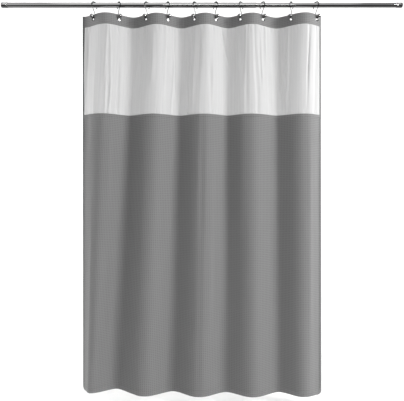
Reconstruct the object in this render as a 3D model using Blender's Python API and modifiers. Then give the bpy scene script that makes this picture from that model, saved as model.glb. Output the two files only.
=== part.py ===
"""A waffle shower curtain with a sheer window, hung by ten ball hooks on a telescoping tension rod.

Metres, +Z up, +X along the rod, the curtain's front towards -Y. The origin is the centre of the
left wall pad's outer face, which lies on the rod's axis.
"""

import math

import bmesh
import bpy
from mathutils import Matrix, Vector

# Rod
ROD_LENGTH = 2.082
OUTER_TUBE_RADIUS = 0.0127
TUBE_WALL = 0.0010
OUTER_TUBE_REACH = 1.324
TUBE_OVERLAP = 0.400
TUBE_CLEARANCE = 0.0003
CAP_LENGTH = 0.030
CAP_WALL = 0.0010
CAP_END_WALL = 0.0020
PAD_THICKNESS = 0.0030
PAD_INSET = 0.0008
PAD_BOSS_RADIUS = 0.0060
PAD_BOSS_LENGTH = 0.0045
GLIDE_FLANGE = 0.006
GLIDE_SPIGOT = 0.018
SPRING_LENGTH = 0.340
SPRING_TURNS = 10
SPRING_WIRE_RADIUS = 0.0012
SPRING_PLAY = 0.0012
STOP_PLUG_LENGTH = 0.022

# Curtain
CURTAIN_START = 0.415
LEFT_MARGIN = 0.064
RIGHT_MARGIN = 0.026
HOOK_GAPS = (0.132, 0.141, 0.113, 0.138, 0.112, 0.127, 0.117, 0.145, 0.134)
FOLD_ANGLE = math.radians(35)
CURTAIN_DROP = 1.971
HEADER_HEIGHT = 0.058
WINDOW_HEIGHT = 0.462
BOTTOM_HEM_HEIGHT = 0.025
SIDE_HEM_WIDTH = 0.011
HEADER_THICKNESS = 0.0022
WINDOW_THICKNESS = 0.0010
MAIN_THICKNESS = 0.0016
HEM_THICKNESS = 0.0026
COLUMNS_PER_FOLD = 8

# Eyelets
EYELET_BORE = 0.0070
EYELET_BARREL_WALL = 0.0010
EYELET_RIM = 0.0050
EYELET_FLANGE = 0.0010
EYELET_DEPTH = 0.0235
FLANGE_GAP = 0.0005

# Hooks, seen from the side: u is the distance in front of the rod's axis, z the height above it
WIRE_RADIUS = 0.0014
LOOP_PLAY = 0.0056
LOOP_OPEN_ANGLE = math.radians(210)
LOOP_LEG_ANGLE = math.radians(-30)
HEADER_BELOW_AXIS = 0.0500
SADDLE_CENTRE = 0.0060
SADDLE_CORNER = 0.0070
LEG_EASE = 0.018
TIP_BALL_RADIUS = 0.0030
BALL_RADIUS = 0.0100
BALL_CLEAR_OF_EYELET = 0.0006
BALL_RISE = 0.0080
ROLLER_RADIUS = 0.0032
ROLLER_PLAY = 0.0006
HOOK_SEAT_GAP = 0.0005

# Running and touching gaps
GAP = 0.0003
ROUND_STEPS = 24
SMALL_STEPS = 14

# What follows from the sizes above
OUTER_TUBE_BORE = OUTER_TUBE_RADIUS - TUBE_WALL
INNER_TUBE_RADIUS = OUTER_TUBE_BORE - TUBE_CLEARANCE
INNER_TUBE_BORE = INNER_TUBE_RADIUS - TUBE_WALL
CAP_FACE = PAD_THICKNESS - PAD_INSET
TUBE_END = CAP_FACE + CAP_END_WALL + GAP
INNER_TUBE_START = OUTER_TUBE_REACH - TUBE_OVERLAP
HEADER_TOP = -HEADER_BELOW_AXIS
EYELET_HEIGHT = HEADER_TOP - EYELET_DEPTH
SADDLE_HEIGHT = EYELET_HEIGHT + EYELET_BORE - HOOK_SEAT_GAP - WIRE_RADIUS
EYELET_FACE = HEADER_THICKNESS / 2 + FLANGE_GAP + EYELET_FLANGE
SADDLE_REACH = EYELET_FACE + BALL_CLEAR_OF_EYELET + BALL_RADIUS
BALL_HEIGHT = SADDLE_HEIGHT + BALL_RISE
CLOTH_Y = -SADDLE_CENTRE * math.cos(FOLD_ANGLE)
LOOP_HEIGHT = OUTER_TUBE_RADIUS + GAP + ROLLER_RADIUS
LOOP_HALF_WIDTH = OUTER_TUBE_RADIUS + WIRE_RADIUS + LOOP_PLAY
HEADER_BOTTOM = HEADER_TOP - HEADER_HEIGHT
WINDOW_BOTTOM = HEADER_BOTTOM - WINDOW_HEIGHT
CURTAIN_BOTTOM = HEADER_TOP - CURTAIN_DROP
HEM_TOP = CURTAIN_BOTTOM + BOTTOM_HEM_HEIGHT


def eyelet_positions():
    """The x of each eyelet's centre, from the left edge of the curtain."""
    places = [CURTAIN_START + LEFT_MARGIN]
    for gap in HOOK_GAPS:
        places.append(places[-1] + gap)
    return places


EYELETS = eyelet_positions()
CURTAIN_END = EYELETS[-1] + RIGHT_MARGIN


# Scene, materials and object helpers


def clear_scene():
    for obj in list(bpy.data.objects):
        bpy.data.objects.remove(obj, do_unlink=True)


def collection(name):
    made = bpy.data.collections.new(name)
    bpy.context.scene.collection.children.link(made)
    return made


def material(name, colour, metallic, roughness):
    made = bpy.data.materials.new(name)
    made.use_nodes = True
    shader = made.node_tree.nodes["Principled BSDF"]
    shader.inputs["Base Color"].default_value = (*colour, 1.0)
    shader.inputs["Metallic"].default_value = metallic
    shader.inputs["Roughness"].default_value = roughness
    made.diffuse_color = (*colour, 1.0)
    return made


def add_object(name, data, coating, placement=None, parent=None):
    """Links a new object to the parts, at a placement under its parent."""
    obj = bpy.data.objects.new(name, data)
    PARTS.objects.link(obj)
    if coating is not None:
        data.materials.append(coating)
    obj.parent = parent
    if placement is not None:
        obj.matrix_basis = placement
    return obj


def turned(name, profile, coating, placement, steps=ROUND_STEPS, parent=None):
    """Turns a closed outline of (radius, height) points, listed down the outer side, about Z."""
    mesh = bpy.data.meshes.new(name)
    points = [(radius, 0.0, height) for radius, height in profile]
    count = len(points)
    on_axis = [radius == 0.0 for radius, _ in profile]
    edges = [(at, (at + 1) % count) for at in range(count)]
    edges = [edge for edge in edges if not (on_axis[edge[0]] and on_axis[edge[1]])]
    mesh.from_pydata(points, edges, [])
    obj = add_object(name, mesh, coating, placement, parent)
    screw = obj.modifiers.new("turn", "SCREW")
    screw.axis = "Z"
    screw.steps = steps
    screw.render_steps = steps
    screw.use_merge_vertices = True
    screw.merge_threshold = 0.00001
    screw.use_smooth_shade = False
    return obj


def along_x(start):
    """A placement whose Z runs along the rod from start, so that a turned height is a distance along it."""
    return Matrix.Translation((start, 0.0, 0.0)) @ Matrix.Rotation(math.pi / 2, 4, "Y")


def against_x(start):
    return Matrix.Translation((start, 0.0, 0.0)) @ Matrix.Rotation(-math.pi / 2, 4, "Y")


def ring_profile(outer, inner, length):
    """A plain tube's outline, from one end to the other."""
    return [(outer, length), (outer, 0.0), (inner, 0.0), (inner, length)]


# Rod


def make_tube(name, start, end, radius):
    profile = ring_profile(radius, radius - TUBE_WALL, end - start)
    return turned(name, profile, CHROME, along_x(start))


def make_end_cap(name, placement, tube_radius):
    """A thin cup over the tube's end, with a hole in its floor for the pad's boss."""
    bore = tube_radius + GAP
    outer = bore + CAP_WALL
    hole = PAD_BOSS_RADIUS + GAP
    edge = CAP_WALL * 0.6
    profile = [
        (bore, CAP_LENGTH),
        (outer, CAP_LENGTH),
        (outer, CAP_FACE + edge),
        (outer - edge, CAP_FACE),
        (tube_radius, CAP_FACE),
        (tube_radius, CAP_FACE + PAD_INSET),
        (hole, CAP_FACE + PAD_INSET),
        (hole, CAP_FACE + CAP_END_WALL),
        (bore, CAP_FACE + CAP_END_WALL),
    ]
    return turned(name, profile, CHROME, placement)


def make_end_pad(name, placement, tube_radius):
    """A rubber disc that lies in the cap's recess, with a boss through the cap's floor."""
    disc = tube_radius - GAP
    back = CAP_FACE + PAD_INSET - GAP
    edge = PAD_INSET
    tip = back + PAD_BOSS_LENGTH
    profile = [
        (0.0, tip),
        (PAD_BOSS_RADIUS, tip),
        (PAD_BOSS_RADIUS, back),
        (disc, back),
        (disc, edge),
        (disc - edge, 0.0),
        (0.0, 0.0),
    ]
    return turned(name, profile, RUBBER, placement)


def make_glide():
    """The plug on the inner tube's hidden end: a flange that runs in the outer tube, and a spigot."""
    spigot = INNER_TUBE_BORE - GAP
    end = GLIDE_FLANGE + GLIDE_SPIGOT
    start = INNER_TUBE_START - GAP - GLIDE_FLANGE
    profile = [
        (0.0, end),
        (spigot, end),
        (spigot, GLIDE_FLANGE),
        (INNER_TUBE_RADIUS, GLIDE_FLANGE),
        (INNER_TUBE_RADIUS, 0.0),
        (0.0, 0.0),
    ]
    turned("inner_tube_glide", profile, NYLON, along_x(start))
    return start


def make_spring(right_end):
    """The coil that pushes the two tubes apart, from the stop plug to the glide."""
    radius = OUTER_TUBE_BORE - SPRING_PLAY - SPRING_WIRE_RADIUS
    start = right_end - SPRING_LENGTH
    first = start + GAP + SPRING_WIRE_RADIUS
    last = right_end - GAP - SPRING_WIRE_RADIUS
    per_turn = 10
    count = SPRING_TURNS * per_turn + 1
    points = []
    for at in range(count):
        turn = 2 * math.pi * at / per_turn
        x = first + (last - first) * at / (count - 1)
        points.append((x, radius * math.cos(turn), radius * math.sin(turn)))
    wire("tension_spring", points, SPRING_WIRE_RADIUS, STEEL)
    return start


def make_stop_plug(right_end):
    start = right_end - STOP_PLUG_LENGTH
    radius = OUTER_TUBE_BORE - GAP
    profile = [(0.0, STOP_PLUG_LENGTH), (radius, STOP_PLUG_LENGTH), (radius, 0.0), (0.0, 0.0)]
    turned("spring_stop_plug", profile, NYLON, along_x(start))


def make_rod():
    make_tube("rod_outer_tube", TUBE_END, OUTER_TUBE_REACH, OUTER_TUBE_RADIUS)
    make_tube("rod_inner_tube", INNER_TUBE_START, ROD_LENGTH - TUBE_END, INNER_TUBE_RADIUS)
    make_end_cap("end_cap_left", along_x(0.0), OUTER_TUBE_RADIUS)
    make_end_cap("end_cap_right", against_x(ROD_LENGTH), INNER_TUBE_RADIUS)
    make_end_pad("end_pad_left", along_x(0.0), OUTER_TUBE_RADIUS)
    make_end_pad("end_pad_right", against_x(ROD_LENGTH), INNER_TUBE_RADIUS)
    glide_start = make_glide()
    spring_start = make_spring(glide_start)
    make_stop_plug(spring_start)


# Curtain


def fold_depth(gap):
    """How far a half-sine fold over this gap swells, when it leaves both eyelets at FOLD_ANGLE."""
    return math.tan(FOLD_ANGLE) * gap / math.pi


def cloth_y(x):
    """The cloth's middle surface: crests towards -Y and troughs towards +Y, in turn, between eyelets."""
    if x <= EYELETS[0]:
        gap = 2 * LEFT_MARGIN
        return CLOTH_Y + fold_depth(gap) * math.sin(math.pi * (EYELETS[0] - x) / gap)
    if x >= EYELETS[-1]:
        gap = HOOK_GAPS[-2]
        return CLOTH_Y + fold_depth(gap) * math.sin(math.pi * (x - EYELETS[-1]) / gap)
    at = max(index for index, place in enumerate(EYELETS) if place <= x)
    gap = HOOK_GAPS[at]
    side = -1 if at % 2 == 0 else 1
    return CLOTH_Y + side * fold_depth(gap) * math.sin(math.pi * (x - EYELETS[at]) / gap)


def fold_columns(start, end):
    """The x of each column of the cloth from start to end: the eyelets and even steps between them."""
    knots = [CURTAIN_START, *EYELETS, CURTAIN_END]
    places = []
    for low, high in zip(knots, knots[1:]):
        steps = max(2, round(COLUMNS_PER_FOLD * (high - low) / max(HOOK_GAPS)))
        places += [low + (high - low) * step / steps for step in range(steps)]
    near = GAP
    inside = [x for x in places if start + near < x < end - near]
    return [start, *inside, end]


def cloth_panel(name, start, end, bottom, top, thickness, coating):
    """A hanging sheet that follows the folds: a line across, drawn up, and thickened both ways."""
    mesh = bpy.data.meshes.new(name)
    made = bmesh.new()
    foot = [made.verts.new((x, cloth_y(x), bottom)) for x in fold_columns(start, end)]
    edges = [made.edges.new(pair) for pair in zip(foot, foot[1:])]
    drawn = bmesh.ops.extrude_edge_only(made, edges=edges)["geom"]
    raised = [item for item in drawn if isinstance(item, bmesh.types.BMVert)]
    bmesh.ops.translate(made, verts=raised, vec=(0.0, 0.0, top - bottom))
    bmesh.ops.recalc_face_normals(made, faces=made.faces)
    made.to_mesh(mesh)
    made.free()
    obj = add_object(name, mesh, coating)
    shell = obj.modifiers.new("thickness", "SOLIDIFY")
    shell.thickness = thickness
    shell.offset = 0.0
    shell.use_even_offset = True
    return obj


def cut_eyelet_holes(header, stands):
    """Punches the header where each eyelet's barrel goes through."""
    punch = bmesh.new()
    for stand in stands:
        lay = stand.matrix_basis @ Matrix.Translation((0.0, -SADDLE_CENTRE, EYELET_HEIGHT))
        lay = lay @ Matrix.Rotation(math.pi / 2, 4, "X")
        radius = EYELET_BORE + EYELET_BARREL_WALL + 2 * GAP
        bmesh.ops.create_cone(
            punch,
            cap_ends=True,
            segments=SMALL_STEPS,
            radius1=radius,
            radius2=radius,
            depth=8 * HEADER_THICKNESS,
            matrix=lay,
        )
    mesh = bpy.data.meshes.new("eyelet_punch")
    punch.to_mesh(mesh)
    punch.free()
    cutter = bpy.data.objects.new("eyelet_punch", mesh)
    CUTTERS.objects.link(cutter)
    hide_cutter(cutter)
    cut = header.modifiers.new("eyelet_holes", "BOOLEAN")
    cut.operation = "DIFFERENCE"
    cut.solver = "EXACT"
    cut.object = cutter


def hide_cutter(obj):
    obj.hide_render = True
    obj.display_type = "WIRE"


def make_curtain(stands):
    inner_start = CURTAIN_START + SIDE_HEM_WIDTH + GAP
    inner_end = CURTAIN_END - SIDE_HEM_WIDTH - GAP
    header = cloth_panel(
        "header_band", inner_start, inner_end, HEADER_BOTTOM, HEADER_TOP, HEADER_THICKNESS, WAFFLE
    )
    cut_eyelet_holes(header, stands)
    window_top = HEADER_BOTTOM - GAP
    cloth_panel(
        "window_panel", inner_start, inner_end, WINDOW_BOTTOM, window_top, WINDOW_THICKNESS, SHEER
    )
    main_top = WINDOW_BOTTOM - GAP
    cloth_panel(
        "main_panel", inner_start, inner_end, HEM_TOP + GAP, main_top, MAIN_THICKNESS, WAFFLE
    )
    cloth_panel(
        "bottom_hem", inner_start, inner_end, CURTAIN_BOTTOM, HEM_TOP, HEM_THICKNESS, HEM_TAPE
    )
    left_end = CURTAIN_START + SIDE_HEM_WIDTH
    right_start = CURTAIN_END - SIDE_HEM_WIDTH
    sides = (("side_hem_left", CURTAIN_START, left_end), ("side_hem_right", right_start, CURTAIN_END))
    for name, start, end in sides:
        cloth_panel(name, start, end, CURTAIN_BOTTOM, HEADER_TOP, HEM_THICKNESS, HEM_TAPE)


# Hooks


def wire(name, points, radius, coating, parent=None, swell=None):
    """A round wire along the points. swell gives each point its share of the wire's radius."""
    curve = bpy.data.curves.new(name, "CURVE")
    curve.dimensions = "3D"
    curve.bevel_depth = radius
    curve.bevel_resolution = 1
    curve.use_fill_caps = True
    line = curve.splines.new("POLY")
    line.points.add(len(points) - 1)
    for at, point in enumerate(points):
        line.points[at].co = (*point, 1.0)
        line.points[at].radius = 1.0 if swell is None else swell[at]
    return add_object(name, curve, coating, None, parent)


def arc(centre, across, up, first, last, steps):
    """Points (u, z) along an ellipse's arc, both ends included."""
    points = []
    for step in range(steps + 1):
        angle = first + (last - first) * step / steps
        points.append((centre[0] + across * math.cos(angle), centre[1] + up * math.sin(angle)))
    return points


def bezier(start, leave, arrive, end, steps):
    """Points (u, z) of a cubic curve, without its ends."""
    points = []
    for step in range(1, steps):
        t = step / steps
        weights = ((1 - t) ** 3, 3 * (1 - t) ** 2 * t, 3 * (1 - t) * t**2, t**3)
        corners = (start, leave, arrive, end)
        point = [sum(w * c[axis] for w, c in zip(weights, corners)) for axis in (0, 1)]
        points.append(tuple(point))
    return points


def hook_outline(past_end=0.0):
    """The wire's middle line: the loop over the rod, the leg, the saddle and the ball's stem."""
    loop = arc((0.0, 0.0), LOOP_HALF_WIDTH, LOOP_HEIGHT, LOOP_OPEN_ANGLE, LOOP_LEG_ANGLE, 16)
    back = SADDLE_CENTRE - SADDLE_REACH
    front = SADDLE_CENTRE + SADDLE_REACH
    low = SADDLE_HEIGHT + SADDLE_CORNER
    leaving = Vector((loop[-1][0] - loop[-2][0], loop[-1][1] - loop[-2][1])).normalized()
    leave = (loop[-1][0] + leaving.x * LEG_EASE, loop[-1][1] + leaving.y * LEG_EASE)
    leg = bezier(loop[-1], leave, (back, low + LEG_EASE), (back, low), 6)
    corner_centres = ((back + SADDLE_CORNER, low), (front - SADDLE_CORNER, low))
    rear = arc(corner_centres[0], SADDLE_CORNER, SADDLE_CORNER, math.pi, 1.5 * math.pi, 4)
    fore = arc(corner_centres[1], SADDLE_CORNER, SADDLE_CORNER, 1.5 * math.pi, 2 * math.pi, 4)
    return [*loop, *leg, *rear, *fore, (front, BALL_HEIGHT + past_end)]


def in_hook_space(outline):
    """Points in the hook's own frame, where -Y is its front."""
    return [(0.0, -u, z) for u, z in outline]


def tip_swell(outline):
    """The bead at the loop's free end: points before the wire, and each one's share of its radius."""
    first = Vector(outline[0])
    direction = (first - Vector(outline[1])).normalized()
    beads = []
    shares = []
    rings = 6
    for ring in range(rings):
        angle = math.pi * (ring + 0.5) / (rings + 1)
        reach = TIP_BALL_RADIUS * math.cos(angle)
        place = first + direction * (reach + TIP_BALL_RADIUS)
        beads.append((place.x, place.y))
        shares.append(TIP_BALL_RADIUS * math.sin(angle) / WIRE_RADIUS)
    return beads, shares


def make_hook_wire(number, stand):
    outline = hook_outline()
    beads, shares = tip_swell(outline)
    points = in_hook_space([*beads, *outline])
    swell = [*shares, *[1.0] * len(outline)]
    wire(f"hook_{number}_wire", points, WIRE_RADIUS, STEEL, stand, swell)


def bore_mesh():
    """The passage in the ball for the wire's stem, as a closed mesh in the hook's own frame."""
    outline = hook_outline(past_end=GAP)[-7:]
    curve = wire("stem_bore", in_hook_space(outline), WIRE_RADIUS + GAP, None)
    graph = bpy.context.evaluated_depsgraph_get()
    mesh = bpy.data.meshes.new_from_object(curve.evaluated_get(graph))
    bpy.data.objects.remove(curve)
    welded = bmesh.new()
    welded.from_mesh(mesh)
    bmesh.ops.remove_doubles(welded, verts=welded.verts, dist=0.000001)
    bmesh.ops.recalc_face_normals(welded, faces=welded.faces)
    welded.to_mesh(mesh)
    welded.free()
    return mesh


def make_ball(number, stand, bore):
    mesh = bpy.data.meshes.new(f"hook_{number}_ball")
    made = bmesh.new()
    centre = (0.0, -(SADDLE_CENTRE + SADDLE_REACH), BALL_HEIGHT)
    bmesh.ops.create_uvsphere(
        made, u_segments=14, v_segments=8, radius=BALL_RADIUS, matrix=Matrix.Translation(centre)
    )
    made.to_mesh(mesh)
    made.free()
    ball = add_object(f"hook_{number}_ball", mesh, CHROME, None, stand)
    cutter = bpy.data.objects.new(f"stem_bore_{number}", bore)
    CUTTERS.objects.link(cutter)
    cutter.parent = stand
    hide_cutter(cutter)
    cut = ball.modifiers.new("stem", "BOOLEAN")
    cut.operation = "DIFFERENCE"
    cut.solver = "EXACT"
    cut.object = cutter


def make_roller(number, stand):
    """The bead that rolls on the rod, threaded on the top of the loop."""
    bore = WIRE_RADIUS + ROLLER_PLAY
    half = math.sqrt(ROLLER_RADIUS**2 - bore**2)
    open_angle = math.asin(bore / ROLLER_RADIUS)
    profile = []
    rings = 6
    for ring in range(rings + 1):
        angle = open_angle + (math.pi - 2 * open_angle) * ring / rings
        profile.append((ROLLER_RADIUS * math.sin(angle), ROLLER_RADIUS * math.cos(angle)))
    profile[0] = (bore, half)
    profile[-1] = (bore, -half)
    lay = Matrix.Translation((0.0, 0.0, LOOP_HEIGHT)) @ Matrix.Rotation(math.pi / 2, 4, "X")
    turned(f"hook_{number}_roller", profile, CHROME, lay, 10, stand)


def make_eyelet(number, stand):
    """A two-flanged ring clenched through the header."""
    barrel = EYELET_BORE + EYELET_BARREL_WALL
    rim = EYELET_BORE + EYELET_RIM
    outer = EYELET_FACE
    inner = outer - EYELET_FLANGE
    lip = EYELET_FLANGE * 0.6
    profile = [
        (EYELET_BORE, outer - lip),
        (barrel, outer),
        (rim, outer - lip),
        (rim, inner),
        (barrel, inner),
        (barrel, -inner),
        (rim, -inner),
        (rim, lip - outer),
        (barrel, -outer),
        (EYELET_BORE, lip - outer),
    ]
    lay = Matrix.Translation((0.0, -SADDLE_CENTRE, EYELET_HEIGHT)) @ Matrix.Rotation(math.pi / 2, 4, "X")
    turned(f"eyelet_{number}", profile, CHROME, lay, SMALL_STEPS, stand)


def make_stands():
    """An empty for each hook, on the rod's axis above its eyelet, turned square to the cloth."""
    stands = []
    for index, place in enumerate(EYELETS):
        turn = -FOLD_ANGLE if index % 2 == 0 else FOLD_ANGLE
        stand = bpy.data.objects.new(f"hook_{index + 1}_stand", None)
        PARTS.objects.link(stand)
        middle = place - SADDLE_CENTRE * math.sin(turn)
        stand.matrix_basis = Matrix.Translation((middle, 0.0, 0.0)) @ Matrix.Rotation(turn, 4, "Z")
        stands.append(stand)
    return stands


def make_hooks(stands):
    bore = bore_mesh()
    for number, stand in enumerate(stands, start=1):
        make_hook_wire(number, stand)
        make_ball(number, stand, bore)
        make_roller(number, stand)
        make_eyelet(number, stand)


clear_scene()
PARTS = collection("shower_curtain")
CUTTERS = collection("cutters")
CHROME = material("polished_chrome", (0.80, 0.81, 0.83), 1.0, 0.08)
STEEL = material("plated_steel_wire", (0.62, 0.63, 0.65), 1.0, 0.18)
RUBBER = material("grey_rubber", (0.12, 0.12, 0.13), 0.0, 0.7)
NYLON = material("white_nylon", (0.82, 0.82, 0.80), 0.0, 0.4)
WAFFLE = material("grey_waffle_cloth", (0.28, 0.28, 0.285), 0.0, 0.9)
SHEER = material("pale_sheer_voile", (0.62, 0.62, 0.63), 0.0, 0.7)
HEM_TAPE = material("grey_hem_tape", (0.22, 0.22, 0.225), 0.0, 0.9)
make_rod()
STANDS = make_stands()
make_curtain(STANDS)
make_hooks(STANDS)
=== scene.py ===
"""The finished look of a waffle shower curtain on a tension rod: cloth, hooks, rod, materials and studio.

Metres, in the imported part's own frame: +X along the rod, the curtain's front towards -Y, +Z up.
"""

import math

import bmesh
import bpy
import numpy as np
from mathutils import Matrix, Vector


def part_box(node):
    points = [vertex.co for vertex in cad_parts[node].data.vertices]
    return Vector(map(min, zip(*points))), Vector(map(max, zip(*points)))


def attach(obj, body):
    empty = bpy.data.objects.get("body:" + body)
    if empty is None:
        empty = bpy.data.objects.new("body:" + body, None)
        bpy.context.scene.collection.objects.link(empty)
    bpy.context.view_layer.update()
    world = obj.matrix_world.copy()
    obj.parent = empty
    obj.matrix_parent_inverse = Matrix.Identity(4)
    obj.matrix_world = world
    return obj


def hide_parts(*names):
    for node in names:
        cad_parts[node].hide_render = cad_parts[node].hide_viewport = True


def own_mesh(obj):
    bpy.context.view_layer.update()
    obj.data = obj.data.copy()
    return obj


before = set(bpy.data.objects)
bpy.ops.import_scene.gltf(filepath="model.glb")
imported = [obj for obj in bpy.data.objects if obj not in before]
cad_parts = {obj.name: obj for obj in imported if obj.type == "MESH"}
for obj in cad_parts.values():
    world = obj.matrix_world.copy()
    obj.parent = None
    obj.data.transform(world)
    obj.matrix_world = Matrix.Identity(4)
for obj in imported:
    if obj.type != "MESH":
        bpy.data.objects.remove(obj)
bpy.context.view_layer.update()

# Rod
TUBE_WALL = 0.0010
CAP_WALL = 0.0010
CAP_END_WALL = 0.0020
PAD_INSET = 0.0008
GAP = 0.0003
SPRING_WIRE_RADIUS = 0.0012
SPRING_TURNS = 10
SPRING_STEPS_PER_TURN = 24
# The outer tube's lip, ring by ring: how far back from its end, and its share of the tube's radius.
# The end itself has the last share.
LIP_RINGS = ((0.0040, 1.0), (0.0022, 1.0), (0.0012, 0.992), (0.0005, 0.976))
LIP_SHARE = 0.945
# How far each groove lies from the end cup's mouth, half its width, and its share of the cup's radius.
GRIP_GROOVES = (0.0030, 0.0050, 0.0070)
GRIP_GROOVE_HALF_WIDTH = 0.0004
GRIP_GROOVE_SHARE = 0.975

# Curtain
HOOKS = 10
LEFT_MARGIN = 0.064
RIGHT_MARGIN = 0.026
FOLD_ANGLE = math.radians(35)
WAFFLE_CELL = 0.0090
WAFFLE_RIDGE = 0.0006
HEADER_THICKNESS = 0.0022
HEM_THICKNESS = 0.0030
SIDE_HEM_THICKNESS = HEM_THICKNESS * 1.15
SIDE_HEM_WIDTH = 0.011
SEAM_BAND_THICKNESS = HEM_THICKNESS * 0.8
SEAM_BAND_HEIGHT = 0.015
# How far a sheet's cut edge runs into the seam, header or hem that holds it.
SEAM_ALLOWANCE = 0.004
STITCH_PITCH = 0.0040
STITCH_RADIUS = 0.00032
STITCH_LENGTH_SHARE = 0.82
STITCH_INSET = 0.004
CORNER_RADIUS = 0.024
CORNER_REACH = 0.060

# Each crest and trough at the hem, from the left edge to the right one: how far it has drifted
# along the rod on its way down, and how far it stands in front of the rod (minus) or behind it.
HEM_DRIFT = (0.010, -0.076, -0.088, -0.068, -0.045, -0.033, -0.010, 0.002, 0.014, -0.008, -0.002)
HEM_DEPTH = (0.000, -0.042, 0.037, -0.041, 0.035, -0.041, 0.024, -0.042, 0.024, -0.040, -0.004)
# How narrow the troughs are beside the crests, from 0 for an even wave to 1 for a cusp: under the
# header, and at the hem, where the cloth hangs more freely.
UPPER_SHARPNESS = 0.85
HEM_SHARPNESS = 0.30
# The spread of the smoothing that rounds a sharp turn, in metres of cloth, how many spreads it
# reaches to each side, and how many points a course has, which puts them about 1 mm apart.
TROUGH_ROUNDING = 0.008
ROUNDING_REACH = 3
COURSE_POINTS = 1373
# How much deeper than its crests the header's troughs are, at their middles.
TROUGH_DEEPENING = 0.0060
# The share of the drop below the header over which its waves turn into full folds.
FOLDS_FORMED = 0.22
# The hem hangs higher at its left end, and the rise dies away over this much cloth.
HEM_RISE_LEFT = 0.024
HEM_RISE_WIDTH = 0.60

# Eyelets
EYELET_BORE = 0.0070
EYELET_WALL = 0.0008
EYELET_HOLE = 0.0085
EYELET_FACE = 0.0026
# The rolled rim, step by step outwards from the barrel: how much wider, and how much further out.
RIM_STEPS = ((0.0009, 0.0002), (0.0014, 0.0), (0.0012, -0.0002), (0.0005, -0.0006))

# Hooks, seen from the side: u is the distance in front of the rod's axis, z the height above it
WIRE_RADIUS = 0.0014
# The wire is drawn this much thicker than it is, so that the hooks show at the curtain's scale.
PLATED_WIRE_RADIUS = 0.00180
LOOP_PLAY = 0.0056
LOOP_OPEN_ANGLE = math.radians(210)
LOOP_LEG_ANGLE = math.radians(-30)
SADDLE_CENTRE = 0.0060
SADDLE_CORNER = 0.0070
SADDLE_REACH = 0.0132
LEG_EASE = 0.018
TIP_BALL_RADIUS = 0.0030
BALL_RADIUS = 0.0100
BALL_RISE = 0.0080
HOOK_SEAT_GAP = 0.0005
ROLLER_RADIUS = 0.0032
ROLLER_RINGS = 14
ROLLER_OPEN_RINGS = 3
SIDE_BEADS = 4
BEAD_PITCH = 0.0068

# Two places on a mesh closer than this are the same ring or edge.
SAME_PLACE = 0.00005

# Studio
CAMERA_PLACE = (1.0418, -2.355, -1.0152)
CAMERA_LENS = 40.35
SENSOR_WIDTH = 36.0
# The air's brightness seen towards the left and towards the right, which shades the chrome's ends.
AIR_LEFT = 0.58
AIR_RIGHT = 0.12


def middle(node):
    low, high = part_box(node)
    return (low + high) / 2


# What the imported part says
EYELETS = [middle(f"eyelet_{number}").x for number in range(1, HOOKS + 1)]
CLOTH_Y = middle("eyelet_1").y
EYELET_HEIGHT = middle("eyelet_1").z
CURTAIN_START = EYELETS[0] - LEFT_MARGIN
CURTAIN_END = EYELETS[-1] + RIGHT_MARGIN
HEADER_BOTTOM, HEADER_TOP = (corner.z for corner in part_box("header_band"))
WINDOW_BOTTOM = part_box("window_panel")[0].z
CURTAIN_BOTTOM, HEM_TOP = (corner.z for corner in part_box("bottom_hem"))
OUTER_TUBE_START, OUTER_TUBE_END = (corner.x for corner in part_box("rod_outer_tube"))
INNER_TUBE_START, INNER_TUBE_END = (corner.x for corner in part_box("rod_inner_tube"))
OUTER_TUBE_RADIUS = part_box("rod_outer_tube")[1].z
INNER_TUBE_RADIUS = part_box("rod_inner_tube")[1].z
ROD_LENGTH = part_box("end_pad_right")[1].x
CAP_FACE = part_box("end_cap_left")[0].x
CAP_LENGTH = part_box("end_cap_left")[1].x
SADDLE_HEIGHT = EYELET_HEIGHT + EYELET_BORE - HOOK_SEAT_GAP - WIRE_RADIUS
BALL_HEIGHT = SADDLE_HEIGHT + BALL_RISE
LOOP_HEIGHT = OUTER_TUBE_RADIUS + GAP + ROLLER_RADIUS
LOOP_HALF_WIDTH = OUTER_TUBE_RADIUS + WIRE_RADIUS + LOOP_PLAY


# Materials


def linear(colour):
    """A colour such as #8E8E90 as linear red, green, blue and alpha."""
    shares = [int(colour[at : at + 2], 16) / 255 for at in (1, 3, 5)]
    return (*[c / 12.92 if c <= 0.04045 else ((c + 0.055) / 1.055) ** 2.4 for c in shares], 1.0)


def new_material(name, colour, **settings):
    """A Principled material and its node tree. Settings are the shader's own sockets, by name."""
    made = bpy.data.materials.new(name)
    made.use_nodes = True
    shader = made.node_tree.nodes["Principled BSDF"]
    shader.inputs["Base Color"].default_value = linear(colour)
    for socket, value in settings.items():
        shader.inputs[socket.replace("_", " ")].default_value = value
    return made, made.node_tree, shader


def node(tree, kind, feeds=(), **settings):
    """Adds a node. Feeds are pairs of an input and the value or the socket that goes in it."""
    made = tree.nodes.new("ShaderNode" + kind)
    for setting, value in settings.items():
        setattr(made, setting, value)
    for socket, value in feeds:
        if isinstance(value, bpy.types.NodeSocket):
            tree.links.new(value, made.inputs[socket])
        else:
            made.inputs[socket].default_value = value
    return made


def wave_scale(period):
    """The scale at which a band wave repeats once in this many metres."""
    return 2 * math.pi / (20 * period)


def noise_scale(size):
    """The scale at which noise blotches are about this many metres across."""
    return 1 / size


def noise_range(value, low, high):
    """The feeds that turn a noise, which mostly runs from 0.3 to 0.7, into a range from low to high."""
    return [("Value", value), ("From Min", 0.3), ("From Max", 0.7), ("To Min", low), ("To Max", high)]


def two_tones(factor, first, last):
    """The feeds that mix one colour into another."""
    return [("Factor", factor), ("A", linear(first)), ("B", linear(last))]


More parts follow.
